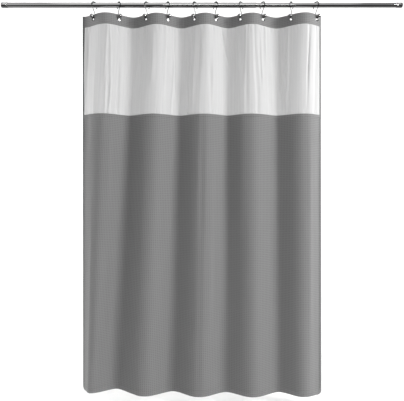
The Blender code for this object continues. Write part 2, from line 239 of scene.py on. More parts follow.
def chrome_tube():
    """Chrome plate on drawn steel tube: a near mirror, softened a little by lines along the tube."""
    made, tree, shader = new_material("chrome_plated_tube", "#DCDCDC", Metallic=1.0)
    place = node(tree, "TexCoord").outputs["Object"]
    along = node(tree, "Mapping", [("Vector", place), ("Scale", (0.02, 1.0, 1.0))]).outputs[0]
    lines = node(tree, "TexNoise", [("Vector", along), ("Scale", noise_scale(0.0009)), ("Detail", 4.0)])
    smears = node(tree, "TexNoise", [("Vector", place), ("Scale", noise_scale(0.05)), ("Detail", 3.0)])
    blend = node(tree, "Mix", [("Factor", 0.35), ("A", smears.outputs["Fac"]), ("B", lines.outputs["Fac"])])
    rough = node(tree, "MapRange", noise_range(blend.outputs[0], 0.03, 0.08))
    tree.links.new(rough.outputs[0], shader.inputs["Roughness"])
    bump = node(
        tree, "Bump", [("Height", lines.outputs["Fac"]), ("Strength", 0.15), ("Distance", 0.00002)]
    )
    tree.links.new(bump.outputs[0], shader.inputs["Normal"])
    return made


def plated_pressing(name, colour):
    """Plate on small pressed and turned pieces: a chrome or nickel mirror with faint orange peel."""
    made, tree, shader = new_material(name, colour, Metallic=1.0)
    place = node(tree, "TexCoord").outputs["Object"]
    peel = node(tree, "TexNoise", [("Vector", place), ("Scale", noise_scale(0.0020)), ("Detail", 2.0)])
    film = node(tree, "TexNoise", [("Vector", place), ("Scale", noise_scale(0.006)), ("Detail", 4.0)])
    rough = node(tree, "MapRange", noise_range(film.outputs["Fac"], 0.04, 0.12))
    tree.links.new(rough.outputs[0], shader.inputs["Roughness"])
    bump = node(
        tree, "Bump", [("Height", peel.outputs["Fac"]), ("Strength", 0.2), ("Distance", 0.00003)]
    )
    tree.links.new(bump.outputs[0], shader.inputs["Normal"])
    return made


def plated_wire():
    """Nickel-plated steel wire: dark grey, with the die's drawing marks softening what it mirrors."""
    made, tree, shader = new_material("nickel_plated_wire", "#494949", Metallic=1.0)
    place = node(tree, "TexCoord").outputs["Object"]
    marks = node(tree, "TexNoise", [("Vector", place), ("Scale", noise_scale(0.0008)), ("Detail", 5.0)])
    rough = node(tree, "MapRange", noise_range(marks.outputs["Fac"], 0.12, 0.26))
    tree.links.new(rough.outputs[0], shader.inputs["Roughness"])
    tone = node(tree, "Mix", two_tones(marks.outputs["Fac"], "#3E3E3E", "#565656"), data_type="RGBA")
    tree.links.new(tone.outputs["Result"], shader.inputs["Base Color"])
    return made


def moulded_rubber():
    """Moulded grey rubber: matt and dark, with a fine pebble from the mould and pale bloom."""
    made, tree, shader = new_material("moulded_rubber", "#343434", Roughness=0.72)
    place = node(tree, "TexCoord").outputs["Object"]
    pebble = node(tree, "TexVoronoi", [("Vector", place), ("Scale", noise_scale(0.0006))])
    bloom = node(tree, "TexNoise", [("Vector", place), ("Scale", noise_scale(0.008)), ("Detail", 5.0)])
    tone = node(tree, "Mix", two_tones(bloom.outputs["Fac"], "#2B2B2B", "#464646"), data_type="RGBA")
    tree.links.new(tone.outputs["Result"], shader.inputs["Base Color"])
    bump = node(
        tree, "Bump", [("Height", pebble.outputs["Distance"]), ("Strength", 0.3), ("Distance", 0.0001)]
    )
    tree.links.new(bump.outputs[0], shader.inputs["Normal"])
    return made


def moulded_nylon():
    """Injection-moulded nylon: off-white and slightly milky, with faint flow marks."""
    made, tree, shader = new_material("moulded_nylon", "#E4E1D8", Roughness=0.42)
    place = node(tree, "TexCoord").outputs["Object"]
    flow = node(
        tree, "TexNoise", [("Vector", place), ("Scale", noise_scale(0.005)), ("Distortion", 1.5)]
    )
    tone = node(tree, "Mix", two_tones(flow.outputs["Fac"], "#DCD8CE", "#ECEAE3"), data_type="RGBA")
    tree.links.new(tone.outputs["Result"], shader.inputs["Base Color"])
    return made


def spring_steel():
    """Oil-tempered spring wire: grey steel with a darker oxide film in patches."""
    made, tree, shader = new_material("oil_tempered_spring_steel", "#7A7A7A", Metallic=1.0, Roughness=0.34)
    place = node(tree, "TexCoord").outputs["Object"]
    film = node(tree, "TexNoise", [("Vector", place), ("Scale", noise_scale(0.012)), ("Detail", 6.0)])
    tone = node(tree, "Mix", two_tones(film.outputs["Fac"], "#505050", "#989898"), data_type="RGBA")
    tree.links.new(tone.outputs["Result"], shader.inputs["Base Color"])
    return made


def waffle(name, pit_painted_shade, ridge):
    """Waffle-weave polyester: matt square cells with yarn ribs, and painted shade that darkens each cell's
    pit below the pale ridges.
    """
    made, tree, shader = new_material(
        name, ridge, Roughness=0.92, Specular_IOR_Level=0.2, Sheen_Weight=0.15, Sheen_Roughness=0.5
    )
    place = node(tree, "UVMap", uv_map="cloth").outputs["UV"]
    cells = []
    yarns = []
    for direction in "XY":
        cell = [
            ("Vector", place),
            ("Scale", wave_scale(WAFFLE_CELL)),
            ("Phase Offset", math.pi / 2),
        ]
        cells.append(node(tree, "TexWave", cell, bands_direction=direction))
        # The yarns are about 0.5 mm apart, drawn at 1.5 mm so that they show.
        yarn = [("Vector", place), ("Scale", wave_scale(0.0015))]
        yarns.append(node(tree, "TexWave", yarn, bands_direction=direction))
    ridges = [(0, cells[0].outputs["Fac"]), (1, cells[1].outputs["Fac"])]
    # Painted shade: the ridge mask gives the pits the darker colour, mixed with the slubs' random tone.
    grid = node(tree, "Math", ridges, operation="MAXIMUM")
    slubs = node(tree, "TexNoise", [("Vector", place), ("Scale", noise_scale(0.004)), ("Detail", 4.0)])
    slub_tone_and_painted_shade = node(
        tree, "Mix", [("Factor", 0.3), ("A", grid.outputs[0]), ("B", slubs.outputs["Fac"])]
    )
    tone = node(tree, "Mix", two_tones(slub_tone_and_painted_shade.outputs[0], pit_painted_shade, ridge), data_type="RGBA")
    tree.links.new(tone.outputs["Result"], shader.inputs["Base Color"])
    ribs = node(tree, "Math", [(0, yarns[0].outputs["Fac"]), (1, yarns[1].outputs["Fac"])], operation="ADD")
    bump = node(tree, "Bump", [("Height", ribs.outputs[0]), ("Strength", 0.5), ("Distance", 0.0002)])
    tree.links.new(bump.outputs[0], shader.inputs["Normal"])
    return made


def voile():
    """Polyester voile: a thin, pale, half see-through weave, with denser yarns as faint streaks."""
    made, tree, shader = new_material(
        "polyester_voile", "#A1A1A1", Roughness=0.65, Specular_IOR_Level=0.3, Sheen_Weight=0.1
    )
    place = node(tree, "UVMap", uv_map="cloth").outputs["UV"]
    drawn = node(tree, "Mapping", [("Vector", place), ("Scale", (1.0, 0.03, 1.0))]).outputs[0]
    streaks = node(tree, "TexNoise", [("Vector", drawn), ("Scale", noise_scale(0.012)), ("Detail", 2.0)])
    cover = node(tree, "MapRange", noise_range(streaks.outputs["Fac"], 0.81, 0.86))
    tree.links.new(cover.outputs[0], shader.inputs["Alpha"])
    tone = node(tree, "Mix", two_tones(streaks.outputs["Fac"], "#A4A4A4", "#ADADAD"), data_type="RGBA")
    tree.links.new(tone.outputs["Result"], shader.inputs["Base Color"])
    # The threads are about 0.3 mm apart, drawn at 1 mm so that they show.
    warp = node(tree, "TexWave", [("Vector", place), ("Scale", wave_scale(0.001))], bands_direction="X")
    weft = node(tree, "TexWave", [("Vector", place), ("Scale", wave_scale(0.001))], bands_direction="Y")
    weave = node(tree, "Math", [(0, warp.outputs["Fac"]), (1, weft.outputs["Fac"])], operation="ADD")
    bump = node(tree, "Bump", [("Height", weave.outputs[0]), ("Strength", 0.3), ("Distance", 0.0001)])
    tree.links.new(bump.outputs[0], shader.inputs["Normal"])
    return made


def sewing_thread():
    """Spun polyester sewing thread: matt, with the two plies as slanting light and dark turns."""
    made, tree, shader = new_material("spun_polyester_thread", "#7F7F7F", Roughness=0.8)
    place = node(tree, "TexCoord").outputs["Object"]
    plies = node(
        tree, "TexWave", [("Vector", place), ("Scale", wave_scale(0.0008))], bands_direction="DIAGONAL"
    )
    tone = node(tree, "Mix", two_tones(plies.outputs["Fac"], "#6B6B6B", "#8F8F8F"), data_type="RGBA")
    tree.links.new(tone.outputs["Result"], shader.inputs["Base Color"])
    return made


def studio_paper():
    """White seamless paper: plain and matt, with a trace of fibre."""
    made, tree, shader = new_material("white_seamless_paper", "#FCFCFC", Roughness=0.9)
    place = node(tree, "TexCoord").outputs["Object"]
    fibre = node(tree, "TexNoise", [("Vector", place), ("Scale", noise_scale(0.01)), ("Detail", 3.0)])
    bump = node(tree, "Bump", [("Height", fibre.outputs["Fac"]), ("Strength", 0.05), ("Distance", 0.001)])
    tree.links.new(bump.outputs[0], shader.inputs["Normal"])
    return made


def black_flag():
    """Black felt on a studio flag: it gives the chrome its dark line."""
    return new_material("black_felt", "#050505", Roughness=1.0)[0]


# Modelling helpers


def select_only(obj):
    bpy.ops.object.select_all(action="DESELECT")
    obj.select_set(True)
    bpy.context.view_layer.objects.active = obj


def fresh(name, coating=None):
    """Names the newly added object, applies its transforms and gives it a material."""
    obj = bpy.context.active_object
    obj.name = name
    obj.data.name = name
    select_only(obj)
    bpy.ops.object.transform_apply(location=True, rotation=True, scale=True)
    if coating is not None:
        obj.data.materials.clear()
        obj.data.materials.append(coating)
    return obj


def edit(obj, kind="FACE"):
    select_only(obj)
    bpy.ops.object.mode_set(mode="EDIT")
    bpy.ops.mesh.select_mode(type=kind)
    bpy.ops.mesh.select_all(action="DESELECT")


def leave_edit():
    bpy.ops.object.mode_set(mode="OBJECT")


def pick_faces(obj, wanted):
    """Selects, in edit mode, just the faces whose middle and normal are wanted."""
    bpy.ops.mesh.select_mode(type="FACE")
    bpy.ops.mesh.select_all(action="DESELECT")
    shape = bmesh.from_edit_mesh(obj.data)
    for face in shape.faces:
        if wanted(face.calc_center_median(), face.normal):
            face.select_set(True)
    bmesh.update_edit_mesh(obj.data)


def pick_verts(obj, wanted):
    """Selects, in edit mode, just the points that are wanted, and the edges between them."""
    bpy.ops.mesh.select_mode(type="VERT")
    bpy.ops.mesh.select_all(action="DESELECT")
    shape = bmesh.from_edit_mesh(obj.data)
    for vert in shape.verts:
        vert.select_set(bool(wanted(vert.co)))
    shape.select_flush_mode()
    bmesh.update_edit_mesh(obj.data)


def extrude(offset):
    bpy.ops.mesh.extrude_region_move(TRANSFORM_OT_translate={"value": offset})


def cut_ring(place, normal):
    """Cuts the whole mesh, in edit mode, with a plane."""
    bpy.ops.mesh.select_all(action="SELECT")
    bpy.ops.mesh.bisect(plane_co=place, plane_no=normal)


def apply_modifier(obj, kind, **settings):
    made = obj.modifiers.new(kind.lower(), kind)
    for setting, value in settings.items():
        setattr(made, setting, value)
    select_only(obj)
    bpy.ops.object.modifier_apply(modifier=made.name)


def soften(obj, width, segments=2, angle=35):
    """Rounds the edges sharper than an angle, and shades what is left smooth."""
    apply_modifier(
        obj,
        "BEVEL",
        width=width,
        segments=segments,
        limit_method="ANGLE",
        angle_limit=math.radians(angle),
        use_clamp_overlap=True,
    )
    select_only(obj)
    bpy.ops.object.shade_smooth_by_angle(angle=math.radians(angle))


def face_outwards(obj):
    edit(obj)
    bpy.ops.mesh.select_all(action="SELECT")
    bpy.ops.mesh.remove_doubles(threshold=0.000001)
    bpy.ops.mesh.normals_make_consistent(inside=False)
    leave_edit()


def hand_over(obj, body, slot, *nodes):
    """Rides the piece on its body, and hides the imported parts that it stands for. The slot is not used."""
    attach(obj, body)
    if nodes:
        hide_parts(*nodes)
    return obj


# Rod


def make_tube(name, start, end, radius, coating):
    bpy.ops.mesh.primitive_cylinder_add(
        vertices=96,
        radius=radius,
        depth=end - start,
        end_fill_type="NOTHING",
        location=((start + end) / 2, 0, 0),
        rotation=(0, math.pi / 2, 0),
    )
    return fresh(name, coating)


def crimp_end(tube, end):
    """Rolls the outer tube's open lip inwards onto the inner tube."""
    for back, share in LIP_RINGS:
        edit(tube)
        cut_ring((end - back, 0, 0), (1, 0, 0))
        pick_verts(tube, lambda co, at=end - back: abs(co.x - at) < SAME_PLACE)
        bpy.ops.transform.resize(value=(1, share, share), center_override=(end, 0, 0))
        leave_edit()
    edit(tube)
    pick_verts(tube, lambda co: abs(co.x - end) < SAME_PLACE)
    bpy.ops.transform.resize(value=(1, LIP_SHARE, LIP_SHARE), center_override=(end, 0, 0))
    leave_edit()


def make_end_cap(name, tube_radius, coating):
    """A pressed cup with a recessed floor for its pad, and three grip grooves round its mouth."""
    bore = tube_radius + GAP
    outer = bore + CAP_WALL
    length = CAP_LENGTH - CAP_FACE
    bpy.ops.mesh.primitive_cylinder_add(
        vertices=96,
        radius=outer,
        depth=length,
        end_fill_type="NGON",
        location=(CAP_FACE + length / 2, 0, 0),
        rotation=(0, math.pi / 2, 0),
    )
    cap = fresh(name, coating)
    edit(cap)
    pick_faces(cap, lambda centre, normal: normal.x > 0.9)
    bpy.ops.mesh.inset(thickness=CAP_WALL)
    extrude((CAP_END_WALL - length, 0, 0))
    pick_faces(cap, lambda centre, normal: normal.x < -0.9 and centre.x < CAP_FACE + GAP)
    bpy.ops.mesh.inset(thickness=outer - tube_radius)
    extrude((PAD_INSET, 0, 0))
    leave_edit()
    for back in GRIP_GROOVES:
        groove = CAP_LENGTH - back
        edit(cap)
        for side in (-GRIP_GROOVE_HALF_WIDTH, 0.0, GRIP_GROOVE_HALF_WIDTH):
            cut_ring((groove + side, 0, 0), (1, 0, 0))
        pick_verts(
            cap,
            lambda co, at=groove: abs(co.x - at) < SAME_PLACE and co.yz.length > outer - SAME_PLACE,
        )
        shrink = (1, GRIP_GROOVE_SHARE, GRIP_GROOVE_SHARE)
        bpy.ops.transform.resize(value=shrink, center_override=(0, 0, 0))
        leave_edit()
    soften(cap, 0.00035, 3)
    return cap


def make_end_pad(name, tube_radius, coating):
    """A rubber disc with raised rings that grip the wall."""
    radius = tube_radius - GAP
    depth = CAP_FACE + PAD_INSET - GAP
    bpy.ops.mesh.primitive_cylinder_add(
        vertices=96,
        radius=radius,
        depth=depth,
        end_fill_type="NGON",
        location=(depth / 2, 0, 0),
        rotation=(0, math.pi / 2, 0),
    )
    pad = fresh(name, coating)
    edit(pad)
    pick_faces(pad, lambda centre, normal: normal.x < -0.9)
    for sink in (0.0006, -0.0006, 0.0006, -0.0006, 0.0006):
        bpy.ops.mesh.inset(thickness=0.0015)
        extrude((sink, 0, 0))
    leave_edit()
    soften(pad, 0.0002, 2)
    return pad


def turn_round(obj):
    """Mirrors a left-hand piece to the rod's right end."""
    obj.data.transform(Matrix.Translation((ROD_LENGTH, 0, 0)) @ Matrix.Scale(-1, 4, (1, 0, 0)))
    obj.data.flip_normals()


def make_spring(coating):
    """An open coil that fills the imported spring's box from end to end."""
    low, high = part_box("tension_spring")
    wire = SPRING_WIRE_RADIUS
    radius = high.z - wire
    steps = SPRING_TURNS * SPRING_STEPS_PER_TURN
    points = []
    for at in range(steps + 1):
        angle = 2 * math.pi * at / SPRING_STEPS_PER_TURN
        x = low.x + wire + (high.x - low.x - 2 * wire) * at / steps
        points.append((x, radius * math.cos(angle), radius * math.sin(angle)))
    return swept("spring_coil", points, wire, coating)


def make_rod():
    outer = make_tube("outer_tube", OUTER_TUBE_START, OUTER_TUBE_END, OUTER_TUBE_RADIUS, CHROME_TUBE)
    crimp_end(outer, OUTER_TUBE_END)
    inner = make_tube("inner_tube", INNER_TUBE_START, INNER_TUBE_END, INNER_TUBE_RADIUS, CHROME_TUBE)
    for tube in (outer, inner):
        apply_modifier(tube, "SOLIDIFY", thickness=TUBE_WALL, offset=-1.0, use_even_offset=True)
        soften(tube, 0.0002, 2)
    hand_over(outer, "rod", "polished_chrome", "rod_outer_tube")
    hand_over(inner, "rod_inner", "polished_chrome", "rod_inner_tube")
    for side, radius, body in (("left", OUTER_TUBE_RADIUS, "rod"), ("right", INNER_TUBE_RADIUS, "rod_inner")):
        cap = make_end_cap(f"end_cup_{side}", radius, CHROME_PRESSING)
        pad = make_end_pad(f"wall_pad_{side}", radius, RUBBER)
        if side == "right":
            turn_round(cap)
            turn_round(pad)
        hand_over(cap, body, "polished_chrome", f"end_cap_{side}")
        hand_over(pad, body, "grey_rubber", f"end_pad_{side}")
    spring = make_spring(SPRING)
    hand_over(spring, "rod", "plated_steel_wire", "tension_spring")
    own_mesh(spring)
    for name in ("inner_tube_glide", "spring_stop_plug"):
        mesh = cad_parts[name].data
        mesh.materials.clear()
        mesh.materials.append(NYLON)


# Hooks


def swept(name, points, radius, coating, swell=None):
    """A round wire along the points, as a closed mesh. Swell is each point's share of the radius."""
    curve = bpy.data.curves.new(name, "CURVE")
    curve.dimensions = "3D"
    curve.bevel_depth = radius
    curve.bevel_resolution = 4
    curve.use_fill_caps = True
    line = curve.splines.new("POLY")
    line.points.add(len(points) - 1)
    for at, point in enumerate(points):
        line.points[at].co = (*point, 1.0)
        line.points[at].radius = 1.0 if swell is None else swell[at]
    obj = bpy.data.objects.new(name, curve)
    bpy.context.scene.collection.objects.link(obj)
    select_only(obj)
    bpy.ops.object.convert(target="MESH")
    obj = bpy.context.active_object
    obj.data.materials.clear()
    obj.data.materials.append(coating)
    face_outwards(obj)
    bpy.ops.object.shade_smooth_by_angle(angle=math.radians(50))
    return obj


def arc(centre, across, up, first, last, steps):
    """Points (u, z) along an ellipse's arc, both ends included."""
    angles = [first + (last - first) * step / steps for step in range(steps + 1)]
    return [(centre[0] + across * math.cos(a), centre[1] + up * math.sin(a)) for a in angles]


def bezier(corners, steps):
    """Points (u, z) of a cubic curve, without its ends."""
    points = []
    for step in range(1, steps):
        t = step / steps
        weights = ((1 - t) ** 3, 3 * (1 - t) ** 2 * t, 3 * (1 - t) * t**2, t**3)
        points.append(tuple(sum(w * c[axis] for w, c in zip(weights, corners)) for axis in (0, 1)))
    return points


def hook_outline():
    """The wire's middle line: the loop over the rod, the leg, the saddle and the ball's stem."""
    loop = arc((0.0, 0.0), LOOP_HALF_WIDTH, LOOP_HEIGHT, LOOP_OPEN_ANGLE, LOOP_LEG_ANGLE, 48)
    back = SADDLE_CENTRE - SADDLE_REACH
    front = SADDLE_CENTRE + SADDLE_REACH
    low = SADDLE_HEIGHT + SADDLE_CORNER
    leaving = Vector((loop[-1][0] - loop[-2][0], loop[-1][1] - loop[-2][1])).normalized()
    leave = (loop[-1][0] + leaving.x * LEG_EASE, loop[-1][1] + leaving.y * LEG_EASE)
    leg = bezier((loop[-1], leave, (back, low + LEG_EASE), (back, low)), 16)
    rear = arc((back + SADDLE_CORNER, low), SADDLE_CORNER, SADDLE_CORNER, math.pi, 1.5 * math.pi, 8)
    fore = arc((front - SADDLE_CORNER, low), SADDLE_CORNER, SADDLE_CORNER, 1.5 * math.pi, 2 * math.pi, 8)
    return [*loop, *leg, *rear, *fore, (front, max(low, BALL_HEIGHT - BALL_RADIUS + 0.0022))]


def make_hook_wire(coating):
    """One length of wire with a bead formed on its free end."""
    outline = hook_outline()
    first = Vector(outline[0])
    direction = (first - Vector(outline[1])).normalized()
    rings = 12
    bead = []
    shares = []
    for ring in range(rings):
        angle = math.pi * (ring + 0.5) / (rings + 1)
        spot = first + direction * (TIP_BALL_RADIUS * math.cos(angle) + TIP_BALL_RADIUS)
        bead.append((spot.x, spot.y))
        shares.append(TIP_BALL_RADIUS * math.sin(angle) / PLATED_WIRE_RADIUS)
    points = [(0.0, -u, z) for u, z in [*bead, *outline]]
    return swept("hook_wire", points, PLATED_WIRE_RADIUS, coating, [*shares, *[1.0] * len(outline)])


def make_ball(coating):
    """A hollow ball pressed from two halves, with a seam round it and a socket for the wire."""
    centre = Vector((0.0, -(SADDLE_CENTRE + SADDLE_REACH), BALL_HEIGHT))
    bpy.ops.mesh.primitive_uv_sphere_add(segments=48, ring_count=32, radius=BALL_RADIUS, location=centre)
    ball = fresh("hook_ball", coating)
    edit(ball)
    for side in (-0.00018, 0.00018):
        cut_ring(centre + Vector((0, 0, side)), (0, 0, 1))
    pick_verts(ball, lambda co: abs(co.z - centre.z) < SAME_PLACE)
    bpy.ops.transform.resize(value=(0.982, 0.982, 1), center_override=centre)
    socket = 2 * WIRE_RADIUS
    pick_faces(
        ball, lambda middle, normal: middle.z < centre.z and (middle - centre).xy.length < socket
    )
    extrude((0, 0, -0.0007))
    bpy.ops.mesh.inset(thickness=0.0006)
    extrude((0, 0, 0.0020))
    leave_edit()
    soften(ball, 0.00012, 2, 40)
    return ball


def make_roller(coating):
    """A bead bored through for the wire, on the top of the loop."""
    bpy.ops.mesh.primitive_uv_sphere_add(
        segments=24,
        ring_count=ROLLER_RINGS,
        radius=ROLLER_RADIUS,
        location=(0, 0, 0),
        rotation=(math.pi / 2, 0, 0),
    )
    bead = fresh("roller_bead", coating)
    open_angle = math.pi * ROLLER_OPEN_RINGS / ROLLER_RINGS
    mouth = ROLLER_RADIUS * math.sin(open_angle)
    edit(bead)
    pick_faces(bead, lambda middle, normal: Vector((middle.x, middle.z)).length < mouth * 0.98)
    bpy.ops.mesh.delete(type="FACE")
    pick_verts(bead, lambda co: Vector((co.x, co.z)).length < mouth * 1.01)
    bpy.ops.mesh.select_mode(type="EDGE")
    bpy.ops.mesh.bridge_edge_loops()
    leave_edit()
    face_outwards(bead)
    soften(bead, 0.00015, 2, 40)
    return bead


def make_eyelet(coating):
    """A barrel whose two ends are rolled out into domed rims, clenched on the cloth."""
    shoulder = EYELET_FACE - EYELET_WALL / 2 - 0.0002
    start = EYELET_BORE + EYELET_WALL / 2
    bpy.ops.mesh.primitive_cylinder_add(
        vertices=64, radius=start, depth=2 * shoulder, end_fill_type="NOTHING", location=(0, 0, 0)
    )
    ring = fresh("eyelet_ring", coating)
    for side in (1, -1):
        edit(ring, "EDGE")
        pick_verts(ring, lambda co, side=side: abs(co.z - side * shoulder) < 0.00001)
        radius = start
        for wider, rise in RIM_STEPS:
            extrude((0, 0, side * rise))
            share = (radius + wider) / radius
            bpy.ops.transform.resize(value=(share, share, 1), center_override=(0, 0, 0))
            radius += wider
        leave_edit()
    face_outwards(ring)
    apply_modifier(ring, "SOLIDIFY", thickness=EYELET_WALL, offset=0.0, use_even_offset=True)
    apply_modifier(ring, "SUBSURF", levels=1, render_levels=1)
    lay = Matrix.Translation((0, -SADDLE_CENTRE, EYELET_HEIGHT)) @ Matrix.Rotation(math.pi / 2, 4, "X")
    ring.data.transform(lay)
    select_only(ring)
    bpy.ops.object.shade_smooth_by_angle(angle=math.radians(50))
    return ring


def bead_place(step):
    """Where a bead sits on the loop, so many beads in front of its top, turned along the wire."""
    angle = math.pi / 2 - step * BEAD_PITCH / LOOP_HALF_WIDTH
    u, z = LOOP_HALF_WIDTH * math.cos(angle), LOOP_HEIGHT * math.sin(angle)
    slope = math.atan2(LOOP_HEIGHT * math.cos(angle), LOOP_HALF_WIDTH * math.sin(angle))
    return Matrix.Translation((0, -u, z)) @ Matrix.Rotation(slope, 4, "X")


def copy_of(obj, name, place):
    """A copy with its own mesh, put in its place there."""
    made = obj.copy()
    made.data = obj.data.copy()
    made.name = name
    made.data.name = name
    bpy.context.scene.collection.objects.link(made)
    made.data.transform(place)
    return made


def join(pieces, name):
    bpy.ops.object.select_all(action="DESELECT")
    for piece in pieces:
        piece.select_set(True)
    bpy.context.view_layer.objects.active = pieces[0]
    bpy.ops.object.join()
    pieces[0].name = name
    pieces[0].data.name = name
    return pieces[0]


def stand_place(index):
    """The frame of a hook: on the rod's axis above its eyelet, turned square to the cloth."""
    turn = -FOLD_ANGLE if index % 2 == 0 else FOLD_ANGLE
    across = EYELETS[index] - SADDLE_CENTRE * math.sin(turn)
    return Matrix.Translation((across, 0, 0)) @ Matrix.Rotation(turn, 4, "Z")


def make_hooks():
    """Each piece of a hook is made once and copied to the ten places."""
    wire = make_hook_wire(WIRE)
    ball = make_ball(BALL_PLATE)
    bead = make_roller(NICKEL_PRESSING)
    ring = make_eyelet(NICKEL_PRESSING)
    steps = [step for step in range(-SIDE_BEADS // 2, SIDE_BEADS // 2 + 1) if step != 0]
    beads = join([copy_of(bead, f"side_bead_{step}", bead_place(step)) for step in steps], "side_beads")
    bead.data.transform(bead_place(0))
    rings = []
    for index in range(HOOKS):
        number = index + 1
        place = stand_place(index)
        body = "curtain" if number == 1 else f"hook_{number}"
        pieces = (
            (wire, f"wire_hook_{number}", body, "plated_steel_wire", f"hook_{number}_wire"),
            (ball, f"ball_{number}", body, "polished_chrome", f"hook_{number}_ball"),
            (bead, f"rolling_bead_{number}", f"roller_{number}", "polished_chrome", f"hook_{number}_roller"),
            (ring, f"grommet_{number}", body, "polished_chrome", f"eyelet_{number}"),
        )
        for model, name, rides, slot, cad in pieces:
            made = hand_over(copy_of(model, name, place), rides, slot, cad)
            if model is ring:
                rings.append(made)
        hand_over(copy_of(beads, f"side_beads_{number}", place), body, "polished_chrome")
    for model in (wire, ball, bead, ring, beads):
        bpy.data.objects.remove(model)
    return rings


# Cloth


def fold_depth(gap):
    """How far a half-sine fold over this gap swells, when it leaves both eyelets at FOLD_ANGLE."""
    return np.tan(FOLD_ANGLE) * gap / np.pi


def header_depth(x):
    """The header's middle surface: crests towards -Y and troughs towards +Y, between eyelets."""
    knots = np.array(EYELETS)
    gaps = np.diff(knots)
    at = np.clip(np.searchsorted(knots, x, side="right") - 1, 0, len(gaps) - 1)
    gap = gaps[at]
    side = np.where(at % 2 == 0, -1.0, 1.0)
    wave = np.sin(np.pi * (x - knots[at]) / gap)
    between = side * fold_depth(gap) * wave + np.where(side > 0, TROUGH_DEEPENING, 0.0) * wave**3
    left = fold_depth(2 * LEFT_MARGIN) * np.sin(np.pi * (knots[0] - x) / (2 * LEFT_MARGIN))
    right = fold_depth(gaps[-2]) * np.sin(np.pi * (x - knots[-1]) / gaps[-2])
    return CLOTH_Y + np.where(x < knots[0], left, np.where(x > knots[-1], right, between))


def measure_header():
    """The header's course as (distance along the cloth, x, y), and its crests' and troughs' places."""
    x = np.linspace(CURTAIN_START, CURTAIN_END, 4001)
    y = header_depth(x)
    along = np.concatenate([[0.0], np.cumsum(np.hypot(np.diff(x), np.diff(y)))])
    knots = np.array(EYELETS)
    folds = np.concatenate([[CURTAIN_START], (knots[1:] + knots[:-1]) / 2, [CURTAIN_END]])
    return (along, x, y), folds


def fold_course(places, depths, marks, sharpness):
    """The cloth's course through these crests and troughs, with the crests broad and the troughs narrow."""
    t = np.linspace(0, 1, 61)
    even = (1 - np.cos(np.pi * t)) / 2
    into_trough = 1 - np.cos(np.pi / 2 * t)
    out_of_trough = np.sin(np.pi / 2 * t)
    courses = []
    for at in range(len(places) - 1):
        sharp = into_trough if depths[at + 1] > depths[at] else out_of_trough
        shape = (1 - sharpness) * even + sharpness * sharp
        across = places[at] + (places[at + 1] - places[at]) * t
        deep = depths[at] + (depths[at + 1] - depths[at]) * shape
        run = np.concatenate([[0.0], np.cumsum(np.hypot(np.diff(across), np.diff(deep)))])
        stretch = marks[at] + (marks[at + 1] - marks[at]) * run / run[-1]
        last = at == len(places) - 2
        courses.append(np.array([stretch, across, deep])[:, : None if last else -1])
    return rounded_course(np.concatenate(courses, axis=1))


def rounded_course(course):
    """The same course at even steps of cloth, with its sharp turns rounded."""
    along = np.linspace(0, course[0][-1], COURSE_POINTS)
    step = along[1]
    reach = int(ROUNDING_REACH * TROUGH_ROUNDING / step)
    weights = np.exp(-0.5 * (np.arange(-reach, reach + 1) * step / TROUGH_ROUNDING) ** 2)
    weights /= weights.sum()
    smooth = [along]
    for line in course[1:]:
        even = np.interp(along, course[0], line)
        before = 2 * even[0] - even[reach:0:-1]
        after = 2 * even[-1] - even[-2 : -reach - 2 : -1]
        smooth.append(np.convolve(np.concatenate([before, even, after]), weights, mode="valid"))
    return np.array(smooth)


HEADER_COURSE, FOLDS = measure_header()
FOLD_MARKS = np.interp(FOLDS, HEADER_COURSE[1], HEADER_COURSE[0])
UPPER_COURSE = fold_course(FOLDS, header_depth(FOLDS), FOLD_MARKS, UPPER_SHARPNESS)
HEM_COURSE = fold_course(FOLDS + np.array(HEM_DRIFT), np.array(HEM_DEPTH), FOLD_MARKS, HEM_SHARPNESS)
CLOTH_WIDTH = HEADER_COURSE[0][-1]


def smooth_step(share):
    share = np.clip(share, 0, 1)
    return share * share * (3 - 2 * share)


def scatter_creases(seed, count, widths, heights, spans, slants, top, bottom):
    """Creases at random places: (place, slant, width, height, middle, half span), each as an array."""
    draw = np.random.default_rng(seed)
    place = draw.uniform(0, CLOTH_WIDTH, count)
    slant = draw.uniform(-slants, slants, count)
    width = draw.uniform(*widths, count)
    height = draw.uniform(*heights, count) * draw.choice([-1.0, 1.0], count)
    half = draw.uniform(*spans, count) / 2
    centre = draw.uniform(bottom, top, count)
    return np.array([place, slant, width, height, centre, half]).T


def crease_lift(creases, u, z):
    """How far the creases lift the cloth at each point."""
    lift = np.zeros_like(u)
    for place, slant, width, height, centre, half in creases:
        across = (u - place - slant * (z - centre)) / width
        fade = smooth_step(1.5 * (1 - np.abs(z - centre) / half))
        lift += height * fade * np.exp(-(across**2))
    return lift


LONG_CREASES = scatter_creases(
    11, 26, (0.012, 0.030), (0.0008, 0.0028), (0.5, 1.9), 0.02, HEADER_BOTTOM, CURTAIN_BOTTOM
)
VOILE_CREASES = scatter_creases(
    23, 50, (0.0050, 0.0130), (0.0020, 0.0050), (0.20, 0.95), 0.05, HEADER_BOTTOM, WINDOW_BOTTOM
)
PUCKERS_TOP = scatter_creases(
    37, 110, (0.0020, 0.0045), (0.0005, 0.0012), (0.03, 0.12), 0.25, HEADER_BOTTOM, HEADER_BOTTOM - 0.01
)
PUCKERS_BOTTOM = scatter_creases(
    41, 70, (0.0025, 0.0050), (0.0003, 0.0008), (0.02, 0.08), 0.10, WINDOW_BOTTOM + 0.01, WINDOW_BOTTOM
)
# One long crease in the window, right of the sixth hook and slanting down to the right: its place,
# slant, width, height, middle and half span.
SLANTING_CREASE = (np.interp(1.160, HEADER_COURSE[1], HEADER_COURSE[0]), -0.21, 0.006, -0.004, -0.20, 0.13)
VOILE_CREASES = np.vstack([VOILE_CREASES, SLANTING_CREASE])


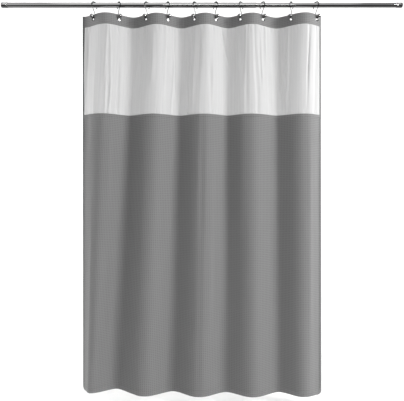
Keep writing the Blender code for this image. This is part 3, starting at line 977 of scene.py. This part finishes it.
def cloth_course(u, z):
    """The (x, y) of the cloth's middle surface, without creases: the header's waves turn into full folds."""
    share = np.clip((HEADER_BOTTOM - z) / (HEADER_BOTTOM - CURTAIN_BOTTOM), 0, 1)
    formed = smooth_step(share / FOLDS_FORMED)
    place = []
    for axis in (1, 2):
        header = np.interp(u, HEADER_COURSE[0], HEADER_COURSE[axis])
        upper = np.interp(u, UPPER_COURSE[0], UPPER_COURSE[axis])
        hem = np.interp(u, HEM_COURSE[0], HEM_COURSE[axis])
        place.append((1 - formed) * header + formed * ((1 - share) * upper + share * hem))
    return place


def cloth_height(u, z):
    """Heights, with the hem lifted on the left and its two corners rounded."""
    share = np.clip((HEADER_BOTTOM - z) / (HEADER_BOTTOM - CURTAIN_BOTTOM), 0, 1)
    rise = HEM_RISE_LEFT * (1 - smooth_step(u / HEM_RISE_WIDTH)) * share**2
    edge = np.clip(np.minimum(u, CLOTH_WIDTH - u), 0, CORNER_RADIUS)
    corner = CORNER_RADIUS - np.sqrt(CORNER_RADIUS**2 - (CORNER_RADIUS - edge) ** 2)
    return z + rise + corner * np.clip(1 - (z - CURTAIN_BOTTOM) / CORNER_REACH, 0, 1)


def cloth_points(u, z, lift):
    """Points on the cloth, lifted along its front normal."""
    step = 0.0005
    ahead = cloth_course(np.minimum(u + step, CLOTH_WIDTH), z)
    behind = cloth_course(np.maximum(u - step, 0), z)
    run, deep = ahead[0] - behind[0], ahead[1] - behind[1]
    length = np.hypot(run, deep)
    x, y = cloth_course(u, z)
    hold = smooth_step((HEADER_BOTTOM - z) / 0.15)
    lift = lift + hold * crease_lift(LONG_CREASES, u, z)
    return np.stack([x + lift * deep / length, y - lift * run / length, cloth_height(u, z)], axis=-1)


def waffle_lift(u, z):
    """The relief of the waffle cells: up on the ridges between them, down in each one's middle."""

    def zigzag(along):
        return 2 * np.abs(2 * (along / WAFFLE_CELL % 1.0) - 1) - 1

    return WAFFLE_RIDGE * np.maximum(zigzag(u), zigzag(z - HEADER_TOP))


def new_mesh(name, points, faces, places, coating):
    """A smooth mesh whose UV map holds each point's place on the flat cloth, in metres."""
    mesh = bpy.data.meshes.new(name)
    mesh.from_pydata(points, [], faces)
    layer = mesh.uv_layers.new(name="cloth")
    corners = np.empty(len(mesh.loops), np.int32)
    mesh.loops.foreach_get("vertex_index", corners)
    layer.data.foreach_set("uv", places[corners].astype(np.float32).ravel())
    mesh.materials.append(coating)
    mesh.validate()
    mesh.shade_smooth()
    obj = bpy.data.objects.new(name, mesh)
    bpy.context.scene.collection.objects.link(obj)
    return obj


def grid_faces(index):
    """Quads over a grid of point numbers, rows from the top and columns from the left, facing -Y."""
    corners = (index[:-1, :-1], index[1:, :-1], index[1:, 1:], index[:-1, 1:])
    return np.stack([corner.ravel() for corner in corners], axis=-1)


def single_sheet(name, u_places, z_places, lift_rule, coating):
    """An open sheet one layer thick, whose edges lie inside the hems and seams round it."""
    u, z = np.meshgrid(u_places, z_places)
    points = cloth_points(u, z, lift_rule(u, z)).reshape(-1, 3)
    index = np.arange(u.size).reshape(u.shape)
    flat = np.stack([u.ravel(), (z - CURTAIN_BOTTOM).ravel()], axis=-1)
    return new_mesh(name, points.tolist(), grid_faces(index).tolist(), flat, coating)


def rounded_places(start, end, steps, half):
    """Places from start to end, packed closer over the rounded edge at each end."""
    ends = np.array([0.0, 0.13, 0.5, 1.0]) * half
    inner = np.linspace(start + half, end - half, steps + 1)[1:-1]
    return np.concatenate([start + ends, inner, (end - ends)[::-1]])


def band(name, u_span, z_span, steps, thickness, relief, coating):
    """A closed strip of folded cloth with rounded edges and the waffle on both faces."""
    half = thickness / 2
    u, z = np.meshgrid(
        rounded_places(*u_span, steps[0], half), rounded_places(*z_span, steps[1], half)[::-1]
    )
    edge = np.minimum(np.minimum(u - u_span[0], u_span[1] - u), np.minimum(z - z_span[0], z_span[1] - z))
    share = np.clip(edge / half, 0, 1)
    swell = half * np.sqrt(np.clip(1 - (1 - share) ** 2, 0, 1))
    lift = swell + relief * waffle_lift(u, z) * smooth_step((edge - half) / 0.002)
    front = cloth_points(u, z, lift).reshape(-1, 3)
    back = cloth_points(u, z, -lift).reshape(-1, 3)
    index = np.arange(u.size).reshape(u.shape)
    inside = np.zeros(u.shape, bool)
    inside[1:-1, 1:-1] = True
    behind = index.copy()
    behind[inside] = u.size + np.arange(inside.sum())
    points = np.concatenate([front, back[inside.ravel()]])
    flat = np.stack([u.ravel(), (z - CURTAIN_BOTTOM).ravel()], axis=-1)
    flat = np.concatenate([flat, flat[inside.ravel()]])
    faces = np.concatenate([grid_faces(index), grid_faces(behind)[:, ::-1]])
    return new_mesh(name, points.tolist(), faces.tolist(), flat, coating)


def punch_eyelet_holes(header):
    """Cuts the header where each eyelet's barrel goes through."""
    punches = []
    for index in range(HOOKS):
        bpy.ops.mesh.primitive_cylinder_add(
            vertices=48, radius=EYELET_HOLE, depth=10 * HEADER_THICKNESS, location=(0, 0, 0)
        )
        punch = fresh(f"punch_{index}")
        lay = Matrix.Translation((0, -SADDLE_CENTRE, EYELET_HEIGHT))
        punch.data.transform(stand_place(index) @ lay @ Matrix.Rotation(math.pi / 2, 4, "X"))
        punches.append(punch)
    punch = join(punches, "punches")
    apply_modifier(header, "BOOLEAN", operation="DIFFERENCE", solver="EXACT", object=punch)
    bpy.data.objects.remove(punch)


def stitch_model():
    """One stitch along X, as points and quads: a short bead of thread that dips in at both ends."""
    sides = 6
    # Each ring's place along the stitch, its thickness and its rise.
    stations = (
        (-0.5, 0.25, -0.9),
        (-0.36, 0.85, 0.1),
        (0.0, 1.0, 0.45),
        (0.36, 0.85, 0.1),
        (0.5, 0.25, -0.9),
    )
    points = []
    for along, thick, rise in stations:
        for side in range(sides):
            angle = 2 * math.pi * side / sides
            points.append((along, thick * math.sin(angle), rise + thick * math.cos(angle)))
    faces = []
    for ring in range(len(stations) - 1):
        for side in range(sides):
            near, far = ring * sides + side, ring * sides + (side + 1) % sides
            faces.append((near, far, far + sides, near + sides))
    last = (len(stations) - 1) * sides
    faces.append(tuple(range(sides))[::-1])
    faces.append(tuple(last + side for side in range(sides)))
    return np.array(points), faces


def stitching(name, rows, coating):
    """Rows of stitches on both faces. A row is a start, an end, both (u, z), and half a thickness."""
    model, model_faces = stitch_model()
    points = []
    faces = []
    for start, end, half in rows:
        start, end = np.array(start), np.array(end)
        length = np.linalg.norm(end - start)
        count = int(length / STITCH_PITCH)
        along = (end - start) / length
        across = np.array([-along[1], along[0]])
        for face in (1, -1):
            for step in range(count):
                centre = start + (end - start) * (step + 0.5) / count
                flat = centre + np.outer(model[:, 0] * STITCH_PITCH * STITCH_LENGTH_SHARE, along)
                flat = flat + np.outer(model[:, 1] * STITCH_RADIUS * face, across)
                lift = face * (half + model[:, 2] * STITCH_RADIUS)
                base = len(points) * len(model)
                points.append(cloth_points(flat[:, 0], flat[:, 1], lift))
                faces += [tuple(base + corner for corner in item) for item in model_faces]
    mesh = bpy.data.meshes.new(name)
    mesh.from_pydata(np.concatenate(points).tolist(), [], faces)
    mesh.materials.append(coating)
    mesh.validate()
    mesh.shade_smooth()
    obj = bpy.data.objects.new(name, mesh)
    bpy.context.scene.collection.objects.link(obj)
    return obj


def drawn_together(obj):
    """Gives the cloth piece a mesh of its own."""
    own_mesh(obj)


def voile_lift(u, z):
    """The window's creases and puckers, held flat where it is sewn in."""
    hold = smooth_step((HEADER_BOTTOM - z) / 0.006) * smooth_step((z - WINDOW_BOTTOM) / 0.006)
    lift = crease_lift(VOILE_CREASES, u, z) + crease_lift(PUCKERS_TOP, u, z)
    return hold * (lift + crease_lift(PUCKERS_BOTTOM, u, z))


def make_curtain(rings):
    """The cloth panels, hems, seam band and stitching, hung at the eyelets. The rings are not used."""
    inner = (SIDE_HEM_WIDTH * 0.6, CLOTH_WIDTH - SIDE_HEM_WIDTH * 0.6)
    cells = round((inner[1] - inner[0]) / WAFFLE_CELL)

    header = band(
        "header_cloth", inner, (HEADER_BOTTOM, HEADER_TOP), (cells * 4, 26), HEADER_THICKNESS, 0.6, WAFFLE
    )
    punch_eyelet_holes(header)

    window = single_sheet(
        "window_cloth",
        np.linspace(*inner, 520),
        np.linspace(HEADER_BOTTOM + SEAM_ALLOWANCE, WINDOW_BOTTOM - SEAM_ALLOWANCE, 150),
        voile_lift,
        VOILE,
    )

    # The main panel's points lie on the waffle's ridges and in its pits, half a cell apart.
    half_cell = WAFFLE_CELL / 2
    first = math.ceil(inner[0] / half_cell)
    last = math.floor(inner[1] / half_cell)
    columns = np.arange(first, last + 1) * WAFFLE_CELL / 2
    first = math.ceil((HEADER_TOP - WINDOW_BOTTOM + SEAM_ALLOWANCE) / half_cell)
    last = math.floor((HEADER_TOP - HEM_TOP + SEAM_ALLOWANCE) / half_cell)
    rows = HEADER_TOP - np.arange(first, last + 1) * WAFFLE_CELL / 2
    main = single_sheet("main_cloth", columns, rows, waffle_lift, WAFFLE)

    seam_top = WINDOW_BOTTOM + 0.001
    seam_bottom = WINDOW_BOTTOM - SEAM_BAND_HEIGHT
    seam = band(
        "seam_band", inner, (seam_bottom, seam_top), (cells * 2, 6), SEAM_BAND_THICKNESS, 0.5, WAFFLE
    )
    bottom = band("hem_bottom", inner, (CURTAIN_BOTTOM, HEM_TOP), (cells * 2, 10), HEM_THICKNESS, 0.6, WAFFLE)
    left_side = (0.0, SIDE_HEM_WIDTH)
    right_side = (CLOTH_WIDTH - SIDE_HEM_WIDTH, CLOTH_WIDTH)
    side_drop = (CURTAIN_BOTTOM, HEADER_TOP)
    side_steps = (4, 330)
    left = band("hem_left", left_side, side_drop, side_steps, SIDE_HEM_THICKNESS, 0.3, BINDING)
    right = band("hem_right", right_side, side_drop, side_steps, SIDE_HEM_THICKNESS, 0.3, WAFFLE)

    def row_at(z, thickness):
        return (inner[0], z), (inner[1], z), thickness / 2

    header_heights = (HEADER_TOP - STITCH_INSET, HEADER_BOTTOM + STITCH_INSET, HEADER_BOTTOM + 0.007)
    header_rows = [row_at(z, HEADER_THICKNESS) for z in header_heights]
    header_thread = stitching("header_stitching", header_rows, THREAD)
    seam_rows = [row_at(z, SEAM_BAND_THICKNESS) for z in (seam_top - 0.003, seam_bottom + 0.003)]
    seam_thread = stitching("seam_stitching", seam_rows, THREAD)
    hem_thread = stitching("hem_stitching", [row_at(HEM_TOP - 0.0035, HEM_THICKNESS)], THREAD)
    side_rows = [
        ((u, CURTAIN_BOTTOM + STITCH_INSET), (u, HEADER_TOP - STITCH_INSET), SIDE_HEM_THICKNESS / 2)
        for u in (SIDE_HEM_WIDTH - 0.0025, CLOTH_WIDTH - SIDE_HEM_WIDTH + 0.0025)
    ]
    side_thread = stitching("side_stitching", side_rows, THREAD)

    pieces = (
        (header, "grey_waffle_cloth", "header_band"),
        (window, "pale_sheer_voile", "window_panel"),
        (main, "grey_waffle_cloth", "main_panel"),
        (bottom, "grey_hem_tape", "bottom_hem"),
        (left, "grey_hem_tape", "side_hem_left"),
        (right, "grey_hem_tape", "side_hem_right"),
        (seam, "grey_waffle_cloth"),
        (header_thread, "grey_hem_tape"),
        (seam_thread, "grey_hem_tape"),
        (hem_thread, "grey_hem_tape"),
        (side_thread, "grey_hem_tape"),
    )
    for piece, slot, *cad in pieces:
        hand_over(piece, "curtain", slot, *cad)
        drawn_together(piece)


# Studio


def aim(obj, target):
    obj.rotation_euler = (Vector(target) - obj.location).to_track_quat("-Z", "Y").to_euler()


def add_camera():
    data = bpy.data.cameras.new("camera")
    data.sensor_width = SENSOR_WIDTH
    data.lens = CAMERA_LENS
    data.clip_end = 50
    camera = bpy.data.objects.new("camera", data)
    camera.location = CAMERA_PLACE
    camera.rotation_euler = (math.pi / 2, 0, 0)
    bpy.context.scene.collection.objects.link(camera)
    bpy.context.scene.camera = camera


def add_softbox(name, place, target, size, power, glossy=True):
    data = bpy.data.lights.new(name, "AREA")
    data.shape = "RECTANGLE"
    data.size, data.size_y = size
    data.energy = power
    lamp = bpy.data.objects.new(name, data)
    lamp.location = place
    bpy.context.scene.collection.objects.link(lamp)
    aim(lamp, target)
    lamp.visible_glossy = glossy


def add_sweep():
    """White paper that runs from the floor under the curtain up the wall behind it in one curve."""
    width = 14.0
    floor_z = CURTAIN_BOTTOM - 0.060
    bend = 1.2
    bend_steps = 12
    back = 4.0
    front = -7.0
    wall_height = 8.0
    bpy.ops.mesh.primitive_plane_add(size=1.0, location=(0, 0, 0))
    sweep = fresh("paper_sweep", PAPER)
    profile = [(front, floor_z), (back - bend, floor_z)]
    for step in range(1, bend_steps + 1):
        angle = math.pi / 2 * step / bend_steps
        profile.append((back - bend + bend * math.sin(angle), floor_z + bend * (1 - math.cos(angle))))
    profile.append((back, floor_z + wall_height))
    middle_x = ROD_LENGTH / 2
    edit(sweep, "VERT")
    bpy.ops.mesh.select_all(action="SELECT")
    bpy.ops.mesh.delete(type="VERT")
    leave_edit()
    shape = bmesh.new()
    line = [shape.verts.new((middle_x - width / 2, y, z)) for y, z in profile]
    edges = [shape.edges.new(pair) for pair in zip(line, line[1:])]
    drawn = bmesh.ops.extrude_edge_only(shape, edges=edges)["geom"]
    moved = [item for item in drawn if isinstance(item, bmesh.types.BMVert)]
    bmesh.ops.translate(shape, verts=moved, vec=(width, 0, 0))
    shape.to_mesh(sweep.data)
    shape.free()
    sweep.data.shade_smooth()
    # The chrome mirrors the studio's air, not the paper, so that its edges stay darker than the wall.
    sweep.visible_glossy = False


def add_flag(name, place, size):
    """A black flag lying on the floor, which only the chrome sees."""
    bpy.ops.mesh.primitive_plane_add(size=1.0, location=(*place, CURTAIN_BOTTOM - 0.05))
    bpy.context.active_object.scale = (*size, 1.0)
    flag = fresh(name, FLAG)
    flag.visible_camera = False
    flag.visible_diffuse = False
    flag.visible_shadow = False


def add_studio():
    """The air, the lights and the paper, with the flags that give the chrome its dark line."""
    world = bpy.data.worlds.new("studio_air")
    world.use_nodes = True
    air = world.node_tree.nodes["Background"]
    air.inputs["Color"].default_value = linear("#F5F5F5")
    direction = node(world.node_tree, "TexCoord").outputs["Generated"]
    across = node(world.node_tree, "SeparateXYZ", [("Vector", direction)]).outputs["X"]
    sides = [("From Min", -1.0), ("From Max", 1.0), ("To Min", AIR_LEFT), ("To Max", AIR_RIGHT)]
    strength = node(world.node_tree, "MapRange", [("Value", across), *sides])
    world.node_tree.links.new(strength.outputs[0], air.inputs["Strength"])
    bpy.context.scene.world = world
    add_softbox("key", (5.3, -2.2, 0.8), (1.0, 0, -1.0), (1.6, 1.6), 238)
    add_softbox("overhead", (1.0, -1.9, 2.3), (1.0, 0, -0.4), (5.0, 2.4), 19)
    add_softbox("front_strip", (1.15, -5.0, 0.4), (1.15, 0, 0), (2.8, 0.35), 18)
    add_softbox("wall_wash_left", (-2.9, 0.4, -0.3), (0.2, 3.0, -1.6), (2.0, 2.0), 168, False)
    add_softbox("wall_wash_right", (5.0, 0.4, -0.3), (1.9, 3.0, -1.6), (2.0, 2.0), 116, False)
    add_sweep()
    add_flag("front_flag", (ROD_LENGTH / 2, -8.15), (16.0, 15.7))
    add_flag("middle_flag", (0.93, 0.3), (2.15, 1.2))


CHROME_TUBE = chrome_tube()
CHROME_PRESSING = plated_pressing("chrome_plated_pressing", "#D9D9D9")
NICKEL_PRESSING = plated_pressing("nickel_plated_pressing", "#868686")
BALL_PLATE = plated_pressing("nickel_plated_ball", "#B2B2B2")
WIRE = plated_wire()
RUBBER = moulded_rubber()
NYLON = moulded_nylon()
SPRING = spring_steel()
# The darker colour of each waffle is painted shade in its pits; the paler one is the ridges' tone.
WAFFLE = waffle("grey_waffle_weave", "#616161", "#838383")
BINDING = waffle("grey_waffle_binding", "#454545", "#606060")
VOILE = voile()
THREAD = sewing_thread()
PAPER = studio_paper()
FLAG = black_flag()

add_camera()
make_rod()
make_curtain(make_hooks())
add_studio()
bpy.context.scene.view_settings.view_transform = "Standard"
